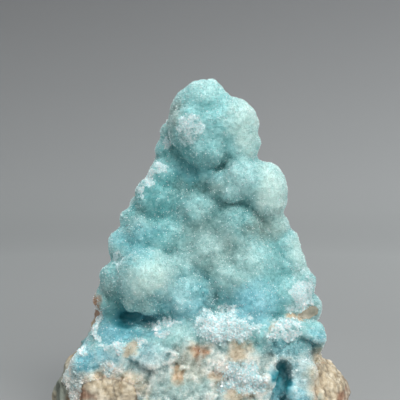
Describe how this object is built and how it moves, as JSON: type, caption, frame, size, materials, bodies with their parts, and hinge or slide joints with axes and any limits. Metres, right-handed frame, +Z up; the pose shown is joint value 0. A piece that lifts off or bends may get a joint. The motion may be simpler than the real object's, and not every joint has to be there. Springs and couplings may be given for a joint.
{
  "type": "hemimorphite specimen",
  "caption": "Cabinet specimen of blue-green botryoidal hemimorphite on brown limonite matrix, a tall triangular rock that stands on its flat sawn foot.",
  "frame": {"origin": "under the middle of the specimen's box, on the plane it stands on", "axes": "+Z up to the crown, -Y out of the grown blue front, +X to the viewer's right when the front is looked at"},
  "size_m": [0.0808, 0.051, 0.0936],
  "materials": {
    "blue_crust": "sugary druse, translucent, vitreous sparkle",
    "limonite": "broken, earthy and matt"
  },
  "bodies": {
    "root": {"hemimorphite_crust": "blue_crust", "limonite_matrix": "limonite"}
  },
  "joints": []
}
